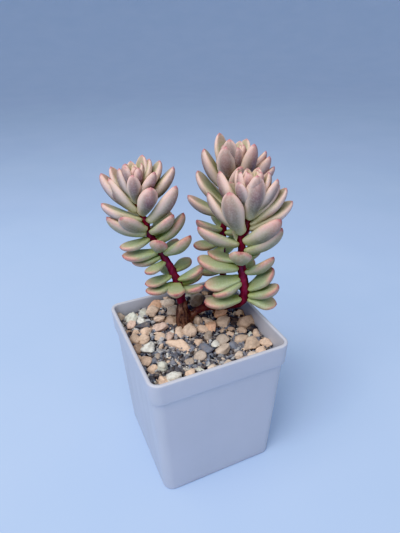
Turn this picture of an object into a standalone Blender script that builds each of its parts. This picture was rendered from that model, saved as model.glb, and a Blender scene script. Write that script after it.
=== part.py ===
"""Potted sedum: a square pot of white plastic, gravelly soil, and one plant with three leafy shoots.

The pot stands on z = 0, centred on the Z axis, with its front wall facing -Y. Lengths are in metres; a value
written with MM is in millimetres.
"""

from math import cos, pi, radians, sin

import bmesh
import bpy
import numpy as np
from mathutils import Euler, Matrix, Vector

MM = 0.001
GAP = 0.3 * MM  # between two bodies that touch

# The pot: half sizes of its square outline, from the foot to the rim.
POT_HEIGHT = 60.0 * MM
BAND_HEIGHT = 9.2 * MM
FOOT_HALF = 23.95 * MM
NECK_HALF = 26.35 * MM
BAND_LOW_HALF = 27.15 * MM
RIM_HALF = 27.5 * MM
CORNER = 4.2 * MM
CORNER_STEPS = 4
RIM_WIDTH = 1.5 * MM
FLOOR_THICKNESS = 1.8 * MM
CAVITY_FOOT_HALF = 22.5 * MM
EDGE_ROUNDING = 0.4 * MM
DRAIN_RADIUS = 3.0 * MM
DRAIN_OFFSET = 12.0 * MM

# The soil and the gravel on it. The gravel is heaped up against the back wall.
SOIL_LEVEL = 49.0 * MM
BED_LEVEL = 52.4 * MM
HEAP_CENTRE = Vector((-1.0, 18.0, 51.6)) * MM
HEAP_RADIUS = 20.0 * MM
HEAP_HEIGHT = 4.8 * MM
STONE_PITCH = 6.0 * MM
STONE_COUNT = 8  # along each side of the pot
STONE_SHIFT = 1.0 * MM  # the furthest that a stone lies from its place in the grid, each way
STONE_LENGTHS = (4.8 * MM, 7.0 * MM)
STONE_RISE = 0.2  # of its length, from the bed to its middle
STONE_SEED = 7

# The woody foot of the plant, in mm: a trunk, and a low branch that forks for the two right shoots.
TRUNK_ROUTE = ((-1.7, 6.2, 38.0), (-1.8, 6.1, 50.0), (-1.9, 6.1, 57.0), (-2.1, 6.5, 62.0), (-2.3, 6.9, 66.3))
TRUNK_RADII = (3.0, 3.1, 3.3, 2.9, 1.5)
BRANCH_ROUTE = ((-1.9, 6.1, 57.0), (0.8, 5.9, 59.4), (4.0, 5.2, 61.6), (8.0, 4.6, 62.8), (12.5, 3.6, 62.4),
                (15.9, 3.0, 62.0), (16.7, 1.6, 63.1))
BRANCH_RADII = (1.5, 1.4, 1.4, 1.6, 1.7, 1.8, 1.8)
FORK_ROUTE = ((8.6, 4.6, 62.7), (14.0, 9.0, 61.0), (18.6, 13.0, 60.4), (19.6, 14.3, 62.3))
FORK_RADII = (1.3, 1.4, 1.4, 1.5)
FOOT_HOLE_CENTRE = (-1.8, 6.1)
FOOT_HOLE_RADIUS = 3.8 * MM

# The leaves. A bearing is counted from this direction of the world, which faces the front left corner.
BEARING_ZERO = 246.5
GOLDEN_ANGLE = 137.5
LEAF_SIDES = 8
LEAF_RINGS = 5
LEAF_CURL = 22.0
NECK_WIDTH = 0.45  # of a leaf's widest, where it leaves the stem
STEM_LEAF_WIDTH = 0.50  # of its length
STEM_LEAF_THICKNESS = 0.29
HEAD_LEAF_WIDTH = 0.43
HEAD_LEAF_THICKNESS = 0.27

# Each shoot's route is in mm, and so are its stem's radii at the foot and the tip. A leaf is its height along
# that route in mm, its bearing and its rise in degrees, and its length in mm, then where needed its turn
# about its own length in degrees and its girth against the others. The young leaves in the middle of a head
# follow the golden angle.
SHOOTS = {
    "left": {
        "route": (
            (-2.3, 7.0, 66.6), (-3.5, 7.5, 75.7), (-5.9, 8.6, 83.2), (-8.3, 9.6, 88.6),
            (-10.7, 10.6, 93.6), (-12.3, 11.4, 97.6), (-12.7, 11.5, 101.2), (-14.0, 12.1, 104.0),
            (-15.3, 12.6, 108.5), (-15.6, 13.0, 115.5),
        ),
        "radii": (1.75, 0.6),
        "head_start": 36.1,
        "stem_leaves": (
            (7.0, 51, 22, 12.0), (8.0, 135, 5, 13.0), (9.0, 290, -6, 12.5), (9.5, 359, 8, 12.0, 0, 1.12),
            (11.0, 74, 34, 13.0), (12.0, 209, 0, 11.5), (13.0, 289, -11, 11.5), (14.5, 146, 2, 11.5),
            (23.3, 82, 36, 13.5, -15, 1.1), (19.5, 311, -9, 10.0), (20.0, 204, 0, 11.5),
            (22.0, 154, 10, 11.5), (22.0, 267, -15, 12.5), (24.5, 283, -2, 13.9),
            (25.9, 8, 40, 12.0, -18, 1.1), (27.0, 187, 10, 13.0), (28.5, 103, 43, 15.2, -10),
            (30.5, 291, -10, 12.0), (31.5, 148, 20, 14.0), (32.5, 272, 26, 16.0, 15),
            (33.0, 70, 40, 13.0, -15), (33.6, 214, 15, 14.0), (34.4, 314, 36, 13.5, 32, 1.0),
        ),
        "head_leaves": (
            (37.4, 79, 51, 18.0, -22), (38.2, 276, 26, 16.0, 12), (40.8, 38, 60, 13.5, -12, 1.3),
            (40.0, 175, 30, 16.0), (41.6, 270, 54, 15.5, 30, 1.1), (42.2, 258, 47, 18.0),
            (43.0, 215, 42, 16.0), (43.5, 150, 40, 15.0), (44.3, 108, 42, 18.5, -12), (45.2, 4, 69, 12.5),
            (45.6, 252, 55, 14.5), (46.2, 70, 56, 13.0, -20), (46.8, 290, 70, 12.2), (47.0, 114, 50, 15.4),
            (47.4, 140, 72, 14.5), (48.0, 318, 78, 12.0), (48.4, 118, 62, 13.0), (49.0, 48, 72, 10.0),
        ),
        "young_leaves": {"count": 4, "first": 49.2, "last": 52.0, "bearing": 190,
                         "lengths": (10.5, 6.0), "rises": (66, 84)},
    },
    "front": {
        "route": (
            (17.0, 1.0, 63.6), (18.6, -3.0, 66.6), (19.4, -5.0, 70.0), (19.0, -5.4, 75.3),
            (18.2, -5.1, 81.3), (17.7, -4.9, 84.6), (17.7, -4.9, 92.4), (17.5, -4.8, 95.8),
            (18.9, -5.4, 99.2), (19.2, -5.5, 102.2), (19.8, -5.8, 107.0), (20.4, -6.0, 114.0),
        ),
        "radii": (2.0, 1.0),
        "head_start": 36.4,
        "stem_leaves": (
            (9.0, 285, 4, 16.0), (9.3, 75, -8, 12.5, 12, 1.2), (10.7, 72, 27, 14.0, 0, 1.15),
            (12.0, 190, 0, 12.0), (13.5, 79, 45, 14.0, 15, 1.15), (16.8, 292, -16, 13.0, 20),
            (18.5, 276, -8, 14.8, -15), (19.0, 160, 10, 12.0), (21.0, 75, 36, 13.5, -22, 1.15),
            (23.0, 275, 18, 17.0), (25.0, 130, 20, 11.0), (26.0, 258, 13, 12.6),
            (26.6, 353, 41, 12.5, 0, 1.28), (30.0, 78, 37, 17.0, -18), (31.5, 180, 20, 12.0),
            (32.7, 272, 26, 17.5, 18, 1.0), (33.8, 67, 39, 17.5, -34, 1.05),
        ),
        "head_leaves": (
            (37.6, 306, 69, 18.5, 32, 1.1), (38.0, 248, 45, 19.0, 15), (39.0, 102, 28, 19.0),
            (39.5, 160, 35, 15.0), (40.8, 97, 44, 18.5), (43.3, 23, 78, 17.0, -12, 1.15),
            (41.8, 210, 48, 16.0), (43.0, 103, 50, 16.0), (44.0, 243, 56, 18.5, 30), (44.6, 145, 50, 15.0),
            (45.2, 80, 56, 15.5, -12), (47.4, 320, 61, 12.8),
        ),
        "young_leaves": {"count": 6, "first": 46.6, "last": 52.0, "bearing": 95,
                         "lengths": (14.5, 8.5), "rises": (66, 85)},
    },
    "back": {
        "route": (
            (19.7, 14.5, 62.8), (20.6, 15.8, 67.0), (20.2, 16.0, 78.0), (20.7, 15.8, 89.6),
            (22.3, 15.1, 100.4), (23.3, 14.6, 107.0), (24.6, 14.0, 119.0),
        ),
        "radii": (1.6, 0.9),
        "head_start": 33,
        "stem_leaves": (
            (8.0, 280, 10, 12.0), (10.0, 200, 10, 12.0), (14.0, 80, 10, 13.0), (16.0, 160, 5, 13.0),
            (20.0, 340, 8, 11.0), (21.5, 110, 20, 13.0), (22.0, 293, 6, 13.0), (25.0, 235, 8, 12.0),
            (26.5, 60, 25, 13.0), (28.0, 190, 15, 14.0), (28.0, 291, 27, 13.0), (30.5, 120, 25, 15.0),
        ),
        "head_leaves": (
            (34.2, 264, 28, 17.0), (36.0, 215, 35, 16.0), (37.0, 130, 38, 17.0), (38.0, 251, 47, 18.2),
            (40.0, 170, 45, 17.0), (41.0, 93, 36, 20.8, -20, 0.9), (42.6, 20, 60, 16.0),
            (43.2, 92, 45, 20.2, -25, 0.95), (44.0, 262, 60, 19.5, 0), (44.6, 200, 55, 17.0),
            (45.4, 331, 71, 19.0, 15, 0.95), (45.8, 62, 64, 20.0, -22, 0.88),
            (47.0, 102, 43, 17.6, -25, 0.9), (47.6, 228, 71, 19.2, 0, 0.9), (49.0, 140, 62, 16.0),
            (50.5, 340, 72, 16.0),
        ),
        "young_leaves": {"count": 5, "first": 49.6, "last": 53.6, "bearing": 10,
                         "lengths": (14.0, 8.0), "rises": (68, 85)},
    },
}
HEAD_GAP = 0.7  # between a shoot and its head, in mm

COLOURS = {
    "pot": (0.78, 0.77, 0.82),
    "soil": (0.05, 0.04, 0.035),
    "gravel": (0.42, 0.32, 0.25),
    "trunk": (0.17, 0.075, 0.04),
    "leaf": (0.42, 0.46, 0.27),
    "head": (0.60, 0.42, 0.40),
}


def clear_scene():
    """Removes what the startup scene holds."""
    for obj in list(bpy.data.objects):
        bpy.data.objects.remove(obj)


def new_collection(name):
    """Makes a collection in the scene."""
    collection = bpy.data.collections.new(name)
    bpy.context.scene.collection.children.link(collection)
    return collection


def plain_material(name, colour, roughness):
    """Makes a Principled material of one colour."""
    material = bpy.data.materials.new(name)
    material.use_nodes = True
    shader = material.node_tree.nodes["Principled BSDF"]
    shader.inputs["Base Color"].default_value = (*colour, 1.0)
    shader.inputs["Roughness"].default_value = roughness
    shader.inputs["Metallic"].default_value = 0.0
    return material


def paint(obj, material):
    """Gives the object this one material."""
    obj.data.materials.clear()
    obj.data.materials.append(material)


def add_object(name, bm, collection):
    """Turns a bmesh into an object of the collection."""
    mesh = bpy.data.meshes.new(name)
    bm.to_mesh(mesh)
    bm.free()
    obj = bpy.data.objects.new(name, mesh)
    collection.objects.link(obj)
    return obj


def frustum(name, low_half, high_half, low_z, high_z, corner, collection):
    """A square block that widens upwards, with its four upright edges rounded."""
    bm = bmesh.new()
    bmesh.ops.create_cube(bm, size=2.0)
    for vert in bm.verts:
        half, z = (high_half, high_z) if vert.co.z > 0 else (low_half, low_z)
        vert.co = (vert.co.x * half, vert.co.y * half, z)
    upright = [edge for edge in bm.edges if abs(edge.verts[0].co.z - edge.verts[1].co.z) > GAP]
    bmesh.ops.bevel(bm, geom=upright, offset=corner, offset_type="OFFSET", segments=CORNER_STEPS,
                    profile=0.5, affect="EDGES")
    return add_object(name, bm, collection)


def cylinder(name, centre, radius, low_z, high_z, collection, sides=20):
    """An upright cylinder."""
    bm = bmesh.new()
    matrix = Matrix.Translation((centre[0], centre[1], (low_z + high_z) / 2))
    bmesh.ops.create_cone(bm, cap_ends=True, segments=sides, radius1=radius, radius2=radius,
                          depth=high_z - low_z, matrix=matrix)
    return add_object(name, bm, collection)


def apply_modifiers(obj):
    """Keeps the object's evaluated mesh in place of its modifiers."""
    evaluated = obj.evaluated_get(bpy.context.evaluated_depsgraph_get())
    mesh = bpy.data.meshes.new_from_object(evaluated)
    obj.modifiers.clear()
    obj.data = mesh


def combine(obj, pieces, operation, solver="EXACT"):
    """Joins the pieces to the object, or cuts them out of it, with one Boolean, and removes them."""
    group = new_collection(obj.name + "_" + operation.lower())
    for piece in pieces:
        for collection in list(piece.users_collection):
            collection.objects.unlink(piece)
        group.objects.link(piece)
    modifier = obj.modifiers.new("Combine", "BOOLEAN")
    modifier.operation = operation
    modifier.operand_type = "COLLECTION"
    modifier.collection = group
    modifier.solver = solver
    apply_modifiers(obj)
    for piece in list(group.objects):
        bpy.data.objects.remove(piece)
    bpy.data.collections.remove(group)


def keep_outer_shell(obj):
    """Drops loose scraps, and fills the hollows that a union sealed, by keeping the tallest shell alone."""
    bm = bmesh.new()
    bm.from_mesh(obj.data)
    left = set(bm.verts)
    shells = []
    while left:
        front = [left.pop()]
        shell = set(front)
        while front:
            for edge in front.pop().link_edges:
                for vert in edge.verts:
                    if vert in left:
                        left.remove(vert)
                        shell.add(vert)
                        front.append(vert)
        shells.append(shell)
    shells.sort(key=lambda shell: max(v.co.z for v in shell) - min(v.co.z for v in shell))
    for shell in shells[:-1]:
        bmesh.ops.delete(bm, geom=list(shell), context="VERTS")
    bm.to_mesh(obj.data)
    bm.free()


def smooth(obj, degrees):
    """Shades the object smooth, with its edges above this angle left sharp."""
    obj.data.shade_smooth()
    obj.data.set_sharp_from_angle(angle=radians(degrees))


def cavity_half(z):
    """Half the cavity's width at a height."""
    share = (z - FLOOR_THICKNESS) / (POT_HEIGHT - FLOOR_THICKNESS)
    return CAVITY_FOOT_HALF + share * (RIM_HALF - RIM_WIDTH - CAVITY_FOOT_HALF)


def build_pot(collection, cutters):
    """The pot: a tapered body and its rim band, hollowed out, with four drain holes."""
    band_low = POT_HEIGHT - BAND_HEIGHT
    pot = frustum("pot", FOOT_HALF, NECK_HALF, 0.0, band_low + MM, CORNER, collection)
    band = frustum("band", BAND_LOW_HALF, RIM_HALF, band_low, POT_HEIGHT, CORNER, cutters)
    combine(pot, [band], "UNION")
    above = POT_HEIGHT + MM
    holes = [frustum("cavity", CAVITY_FOOT_HALF, cavity_half(above), FLOOR_THICKNESS, above,
                     CORNER - RIM_WIDTH, cutters)]
    for x in (-DRAIN_OFFSET, DRAIN_OFFSET):
        for y in (-DRAIN_OFFSET, DRAIN_OFFSET):
            holes.append(cylinder("drain", (x, y), DRAIN_RADIUS, -MM, FLOOR_THICKNESS + MM, cutters))
    combine(pot, holes, "DIFFERENCE")
    bevel = pot.modifiers.new("Rounding", "BEVEL")
    bevel.width = EDGE_ROUNDING
    bevel.segments = 1
    bevel.limit_method = "ANGLE"
    bevel.angle_limit = radians(50)
    smooth(pot, 40)
    return pot


def foot_hole(low, cutters):
    """The cutter of the plain hole for the trunk's foot, from a height to above the rim."""
    return cylinder("foot_hole", Vector(FOOT_HOLE_CENTRE) * MM, FOOT_HOLE_RADIUS, low, POT_HEIGHT + MM, cutters)


def build_soil(collection, cutters):
    """The soil: a block that fills the pot from its floor, with a plain hole for the trunk's foot."""
    low = FLOOR_THICKNESS + GAP
    soil = frustum("soil", cavity_half(low) - GAP, cavity_half(SOIL_LEVEL) - GAP, low, SOIL_LEVEL,
                   CORNER - RIM_WIDTH, collection)
    combine(soil, [foot_hole(TRUNK_ROUTE[0][2] * MM - GAP, cutters)], "DIFFERENCE")
    return soil


def stone(centre, length, draw, collection):
    """One angular stone: an icosahedron pulled long, pushed flat and turned at random."""
    bm = bmesh.new()
    bmesh.ops.create_icosphere(bm, subdivisions=1, radius=0.5)
    width = length * draw.uniform(0.66, 0.86)
    height = length * draw.uniform(0.55, 0.75)
    turn = Euler((radians(draw.uniform(-14, 14)), radians(draw.uniform(-14, 14)), draw.uniform(0.0, pi)))
    for vert in bm.verts:
        vert.co *= draw.uniform(0.9, 1.12)
        vert.co = turn.to_matrix() @ Vector((vert.co.x * length, vert.co.y * width, vert.co.z * height))
        vert.co += centre
    return add_object("stone", bm, collection)


def bed_height(x, y):
    """The height of the gravel bed: level, with the heap's dome on it."""
    offset = ((x - HEAP_CENTRE.x) ** 2 + (y - HEAP_CENTRE.y) ** 2) / HEAP_RADIUS ** 2
    if offset >= 1.0:
        return BED_LEVEL
    return max(BED_LEVEL, HEAP_CENTRE.z + HEAP_HEIGHT * (1.0 - offset) ** 0.5)


def build_gravel(collection, cutters):
    """The gravel: a thin bed with a low heap, and stones sunk in it, with a plain hole for the trunk."""
    low = SOIL_LEVEL + GAP
    gravel = frustum("gravel", cavity_half(low) - GAP, cavity_half(BED_LEVEL) - GAP, low, BED_LEVEL,
                     CORNER - RIM_WIDTH, collection)
    heap = bmesh.new()
    size = Matrix.Diagonal((HEAP_RADIUS, HEAP_RADIUS, HEAP_HEIGHT, 1.0))
    bmesh.ops.create_uvsphere(heap, u_segments=14, v_segments=8, radius=1.0,
                              matrix=Matrix.Translation(HEAP_CENTRE) @ size)
    pieces = [add_object("heap", heap, cutters)]
    draw = np.random.default_rng(STONE_SEED)
    for row in range(STONE_COUNT):
        for column in range(STONE_COUNT):
            x = (column - (STONE_COUNT - 1) / 2) * STONE_PITCH + draw.uniform(-STONE_SHIFT, STONE_SHIFT)
            y = (row - (STONE_COUNT - 1) / 2) * STONE_PITCH + draw.uniform(-STONE_SHIFT, STONE_SHIFT)
            length = draw.uniform(*STONE_LENGTHS)
            centre = Vector((x, y, bed_height(x, y) + STONE_RISE * length))
            pieces.append(stone(centre, length, draw, cutters))
    combine(gravel, pieces, "UNION", "MANIFOLD")
    room = frustum("room", cavity_half(low) - GAP, cavity_half(POT_HEIGHT) - GAP, low, POT_HEIGHT,
                   CORNER - RIM_WIDTH, cutters)
    combine(gravel, [room], "INTERSECT", "MANIFOLD")
    combine(gravel, [foot_hole(low - MM, cutters)], "DIFFERENCE", "MANIFOLD")
    keep_outer_shell(gravel)
    return gravel


def smooth_route(points, steps):
    """Reads a smooth curve through the points: a Hermite spline, with each slope taken from the two
    neighbours. Returns the curve's points and the length along it, both in the points' own units."""
    points = np.array(points, dtype=float)
    chord = np.concatenate(([0.0], np.cumsum(np.linalg.norm(np.diff(points, axis=0), axis=1))))
    slope = np.gradient(points, chord, axis=0)
    at = np.linspace(0.0, chord[-1], steps)
    span = np.clip(np.searchsorted(chord, at, side="right") - 1, 0, len(chord) - 2)
    width = (chord[span + 1] - chord[span])[:, None]
    u = (at - chord[span])[:, None] / width
    curve = ((2 * u ** 3 - 3 * u ** 2 + 1) * points[span] + (u ** 3 - 2 * u ** 2 + u) * width * slope[span]
             + (3 * u ** 2 - 2 * u ** 3) * points[span + 1] + (u ** 3 - u ** 2) * width * slope[span + 1])
    along = np.concatenate(([0.0], np.cumsum(np.linalg.norm(np.diff(curve, axis=0), axis=1))))
    return curve, along


def tube(name, points, radii, collection, bevel_resolution=2):
    """A tube along the points: a curve with round ends' caps, made a mesh. Points and radii are in mm."""
    curve = bpy.data.curves.new(name, "CURVE")
    curve.dimensions = "3D"
    curve.bevel_depth = MM
    curve.bevel_resolution = bevel_resolution
    curve.use_fill_caps = True
    spline = curve.splines.new("POLY")
    spline.points.add(len(points) - 1)
    for target, point, radius in zip(spline.points, points, radii):
        target.co = (*(Vector(point) * MM), 1.0)
        target.radius = radius
    guide = bpy.data.objects.new(name + "_curve", curve)
    collection.objects.link(guide)
    mesh = bpy.data.meshes.new_from_object(guide.evaluated_get(bpy.context.evaluated_depsgraph_get()))
    bpy.data.objects.remove(guide)
    bm = bmesh.new()
    bm.from_mesh(mesh)
    bmesh.ops.remove_doubles(bm, verts=bm.verts, dist=0.00001)
    bmesh.ops.recalc_face_normals(bm, faces=bm.faces)
    return add_object(name, bm, collection)


def build_trunk(collection, cutters):
    """The trunk, its low branch to the right and that branch's fork, joined in one body."""
    parts = []
    for name, route, radii in (("trunk", TRUNK_ROUTE, TRUNK_RADII), ("branch", BRANCH_ROUTE, BRANCH_RADII),
                               ("fork", FORK_ROUTE, FORK_RADII)):
        curve, along = smooth_route(route, 3 * len(route))
        thickness, _ = smooth_route([(radius, 0.0, i) for i, radius in enumerate(radii)], 3 * len(route))
        parts.append(tube(name, curve, thickness[:, 0], collection if name == "trunk" else cutters))
    combine(parts[0], parts[1:], "UNION")
    smooth(parts[0], 50)
    return parts[0]


def leaf(base, bearing, rise, length, turn, girth, shares, collection):
    """One fleshy leaf: a sphere drawn out along an arc from the stem.

    Along the leaf the sphere's rings are drawn towards both ends, which makes the tip blunt. The half width
    is the sphere's, times a factor that grows from the neck to the tip, so it is widest past the middle. The
    upper side is flatter than the lower one. The arc starts half the curl below the rise and ends half the
    curl above it. The shares are the leaf's width and thickness over its length."""
    bm = bmesh.new()
    bmesh.ops.create_uvsphere(bm, u_segments=LEAF_SIDES, v_segments=LEAF_RINGS, radius=1.0)
    angle = radians(BEARING_ZERO + bearing)
    out = Vector((cos(angle), sin(angle), 0.0))
    up = Vector((0.0, 0.0, 1.0))
    side = up.cross(out)
    curl = radians(LEAF_CURL)
    start = radians(rise) - curl / 2
    turn = radians(turn)
    for vert in bm.verts:
        share = (2 + vert.co.z + sin(vert.co.z * pi / 2)) / 4
        lean = start + curl * share
        along = out * ((sin(lean) - sin(start)) / curl) - up * ((cos(lean) - cos(start)) / curl)
        facing = up * cos(lean) - out * sin(lean)
        across = side * cos(turn) + facing * sin(turn)
        facing = facing * cos(turn) - side * sin(turn)
        half_width = girth * shares[0] / 2 * (NECK_WIDTH + (1.35 - NECK_WIDTH) * share)
        half_depth = girth * shares[1] / 2 * (0.7 + 0.5 * share) * (0.62 if vert.co.y > 0 else 1.0)
        vert.co = base + length * (along + across * vert.co.x * half_width + facing * vert.co.y * half_depth)
    bmesh.ops.triangulate(bm, faces=bm.faces)
    return add_object("leaf", bm, collection)


def young_leaves(count, first, last, bearing, lengths, rises):
    """The leaves in the middle of a head: each one turned by the golden angle, shorter and more upright."""
    for index in range(count):
        share = (index + 0.5) / count
        yield (first + (last - first) * share ** 0.8, bearing + GOLDEN_ANGLE * index,
               rises[0] + (rises[1] - rises[0]) * share, lengths[0] + (lengths[1] - lengths[0]) * share)


def full_row(row):
    """A leaf's row, with no turn and a girth of 1 where it gives none."""
    return (*row, *(0.0, 1.0)[len(row) - 4:])


def leafy_body(name, plan, start, end, leaves, shares, collection, cutters):
    """A stretch of a shoot's stem with its leaves fused to it. Start and end are lengths along it in mm."""
    curve, along = smooth_route(plan["route"], 200)
    marks = np.linspace(start, end, max(4, round((end - start) / 2.6)))
    points = [Vector(np.interp(mark, along, curve[:, axis]) for axis in range(3)) for mark in marks]
    foot, tip = plan["radii"]
    radii = [foot + (tip - foot) * mark / along[-1] for mark in marks]
    body = tube(name, points, radii, collection)
    pieces = []
    for height, bearing, rise, length, turn, girth in map(full_row, leaves):
        base = Vector(np.interp(height, along, curve[:, axis]) for axis in range(3)) * MM
        pieces.append(leaf(base, bearing, rise, length * MM, turn, girth, shares, cutters))
    combine(body, pieces, "UNION", "MANIFOLD")
    keep_outer_shell(body)
    smooth(body, 60)
    return body


def build_shoot(side, plan, collection, cutters):
    """One shoot: its leafy stem, and the head of close leaves at its end."""
    split = plan["head_start"]
    stem = leafy_body(side + "_shoot", plan, 0.0, split - HEAD_GAP / 2, plan["stem_leaves"],
                      (STEM_LEAF_WIDTH, STEM_LEAF_THICKNESS), collection, cutters)
    young = plan["young_leaves"]
    leaves = list(plan["head_leaves"]) + list(young_leaves(**young))
    head = leafy_body(side + "_rosette", plan, split + HEAD_GAP / 2, young["last"], leaves,
                      (HEAD_LEAF_WIDTH, HEAD_LEAF_THICKNESS), collection, cutters)
    return stem, head


def main():
    """Builds the pot, what fills it, and the plant."""
    clear_scene()
    parts = new_collection("potted_sedum")
    cutters = new_collection("cutters")
    pot = build_pot(parts, cutters)
    soil = build_soil(parts, cutters)
    gravel = build_gravel(parts, cutters)
    trunk = build_trunk(parts, cutters)
    paint(pot, plain_material("pot plastic", COLOURS["pot"], 0.4))
    paint(soil, plain_material("potting soil", COLOURS["soil"], 0.95))
    paint(gravel, plain_material("mixed stone", COLOURS["gravel"], 0.85))
    paint(trunk, plain_material("bark", COLOURS["trunk"], 0.85))
    green = plain_material("green leaf", COLOURS["leaf"], 0.55)
    pink = plain_material("pink leaf", COLOURS["head"], 0.55)
    for side, plan in SHOOTS.items():
        stem, head = build_shoot(side, plan, parts, cutters)
        paint(stem, green)
        paint(head, pink)


main()
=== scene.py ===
# %% [markdown]
# # A small sedum in a square nursery pot
# This lesson dresses a finished CAD model: a square pot of white plastic, gravelly soil, and one plant whose
# three stems end in heads of thick leaves. The CAD solids give every place and size. Each cell below makes
# one part of the plant or the pot as a surface worked out with numpy, with a finish of shader nodes.

# %% Load the model
import math

import bpy
import numpy as np
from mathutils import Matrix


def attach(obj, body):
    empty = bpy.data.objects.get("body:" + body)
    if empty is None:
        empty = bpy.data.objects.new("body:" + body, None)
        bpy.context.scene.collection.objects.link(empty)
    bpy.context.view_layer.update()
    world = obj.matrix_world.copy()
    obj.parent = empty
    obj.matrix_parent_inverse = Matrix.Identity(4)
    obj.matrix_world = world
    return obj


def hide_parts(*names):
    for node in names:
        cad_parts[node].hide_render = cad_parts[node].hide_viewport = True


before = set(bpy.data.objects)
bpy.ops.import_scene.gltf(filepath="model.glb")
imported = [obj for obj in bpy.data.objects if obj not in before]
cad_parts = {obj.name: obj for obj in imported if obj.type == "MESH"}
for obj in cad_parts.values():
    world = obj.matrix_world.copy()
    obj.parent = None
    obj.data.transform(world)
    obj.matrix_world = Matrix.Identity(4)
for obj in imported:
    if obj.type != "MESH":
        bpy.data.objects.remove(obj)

MM = 0.001
UP = np.array([0.0, 0.0, 1.0])
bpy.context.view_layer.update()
print("nodes", sorted(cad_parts))

# %% [markdown]
# ## The camera
# The pot's corners in the picture were enough to work out where the camera stood: close by, up to the left,
# and looking down by about 29 degrees. A camera is a place, three angles and a lens. Here the three
# directions of its view are worked out first, and then they become the columns of its matrix.

# %% Camera
def add_object(name, data):
    """Put a mesh, a lamp or a camera in the scene as an object."""
    obj = bpy.data.objects.new(name, data)
    bpy.context.scene.collection.objects.link(obj)
    return obj


def place_object(obj, place, directions):
    """Stand an object at a place, with its own X, Y and Z along these three directions. Blender takes the
    matrix column by column."""
    matrix = np.eye(4)
    matrix[:3, :3] = np.stack(directions, axis=1)
    matrix[:3, 3] = place
    obj.matrix_world = matrix.T.tolist()


CAMERA_PLACE = (-0.05425, -0.13199, 0.16478)  # in m
CAMERA_YAW = math.radians(23.465)
CAMERA_PITCH = math.radians(29.07)
CAMERA_ROLL = math.radians(-1.256)
CAMERA_LENS = 30.01  # in mm
SENSOR_WIDTH = 36.0  # in mm, along the picture's long side


def aim_camera(place, yaw, pitch, roll, lens):
    """Set up the camera: the view is turned by the yaw from +Y towards +X, tipped down by the pitch, and
    then its right and up directions turn about it by the roll."""
    forward = np.array([math.sin(yaw) * math.cos(pitch), math.cos(yaw) * math.cos(pitch), -math.sin(pitch)])
    level = np.array([math.cos(yaw), -math.sin(yaw), 0.0])
    upright = np.cross(level, forward)
    right = math.cos(roll) * level + math.sin(roll) * upright
    above = math.cos(roll) * upright - math.sin(roll) * level
    camera = add_object("camera", bpy.data.cameras.new("camera"))
    camera.data.lens = lens
    camera.data.sensor_width = SENSOR_WIDTH
    camera.data.clip_start = 0.01
    place_object(camera, place, (right, above, -forward))
    bpy.context.scene.camera = camera


aim_camera(CAMERA_PLACE, CAMERA_YAW, CAMERA_PITCH, CAMERA_ROLL, CAMERA_LENS)
print("camera", [round(value / MM) for value in CAMERA_PLACE], "mm, lens", CAMERA_LENS)

# %% [markdown]
# ## From rings to a mesh
# A leaf, a stone, a stem and even the pot are all closed shells: a stack of rings, closed by a pole at each
# end. So one function can turn arrays of ring points into a mesh, however many shells there are, and no
# loop over vertices is needed. A shell that comes out inside out has a negative volume, and is turned round.

# %% Shells into a mesh
def shell_faces(count, rows, columns):
    """Number the faces of equal shells. Ring point (row, column) of a shell is row * columns + column, and
    its two poles come last. Returns the quads between rings and the triangles round the poles."""
    size = rows * columns + 2
    here = np.arange(rows * columns).reshape(rows, columns)
    after = np.roll(here, -1, axis=1)
    quads = np.stack([here[:-1], after[:-1], after[1:], here[1:]], axis=-1).reshape(-1, 4)
    low = np.stack([after[0], here[0], np.full(columns, size - 2)], axis=-1)
    high = np.stack([here[-1], after[-1], np.full(columns, size - 1)], axis=-1)
    start = size * np.arange(count)[:, None, None]
    return (quads + start).reshape(-1, 4), (np.concatenate([low, high]) + start).reshape(-1, 3)


def add_piece(name, points, quads, triangles, smooth=True, values=None):
    """Make a piece from points in mm and faces, with its place in its mesh and one number (or colour) per
    point for each named attribute. The volume is the sum of a . (b x c) over all triangles."""
    points = np.asarray(points, dtype=float) * MM
    a, b, c = points[np.concatenate([quads[:, :3], quads[:, [0, 2, 3]], triangles])].transpose(1, 0, 2)
    if np.einsum("ij,ij->", a, np.cross(b, c)) < 0:
        quads, triangles = quads[:, ::-1], triangles[:, ::-1]
    mesh = bpy.data.meshes.new(name)
    mesh.vertices.add(len(points))
    mesh.vertices.foreach_set("co", points.ravel())
    corners = np.concatenate([quads.ravel(), triangles.ravel()])
    sizes = np.concatenate([np.full(len(quads), 4), np.full(len(triangles), 3)])
    mesh.loops.add(len(corners))
    mesh.loops.foreach_set("vertex_index", corners)
    mesh.polygons.add(len(sizes))
    mesh.polygons.foreach_set("loop_start", np.concatenate([[0], np.cumsum(sizes)[:-1]]))
    mesh.polygons.foreach_set("use_smooth", np.full(len(sizes), smooth))
    mesh.update(calc_edges=True)
    for key, numbers in (values or {}).items():
        numbers = np.asarray(numbers, dtype=float)
        kind, field = ("FLOAT_COLOR", "color") if numbers.shape[-1] == 4 else ("FLOAT", "value")
        mesh.attributes.new(key, kind, "POINT").data.foreach_set(field, numbers.ravel())
    print(name, "has", int((sizes - 2).sum()), "triangles")
    return add_object(name, mesh)


def add_shells(name, rings, first, last, smooth=True, values=None):
    """Make a piece of closed shells: rings has the shape (shells, rows, columns, 3), and first and last hold
    each shell's two poles. A value may be one per shell, or one per ring point and pole."""
    count, rows, columns, _ = rings.shape
    points = np.concatenate([rings.reshape(count, -1, 3), first[:, None], last[:, None]], axis=1)
    size = points.shape[1]
    spread = {}
    for key, numbers in (values or {}).items():
        numbers = np.asarray(numbers, dtype=float)
        if numbers.shape[:2] != (count, size):
            numbers = np.repeat(numbers[:, None], size, axis=1)
        spread[key] = numbers.reshape(count * size, -1)
    return add_piece(name, points.reshape(-1, 3), *shell_faces(count, rows, columns), smooth, spread)


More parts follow.
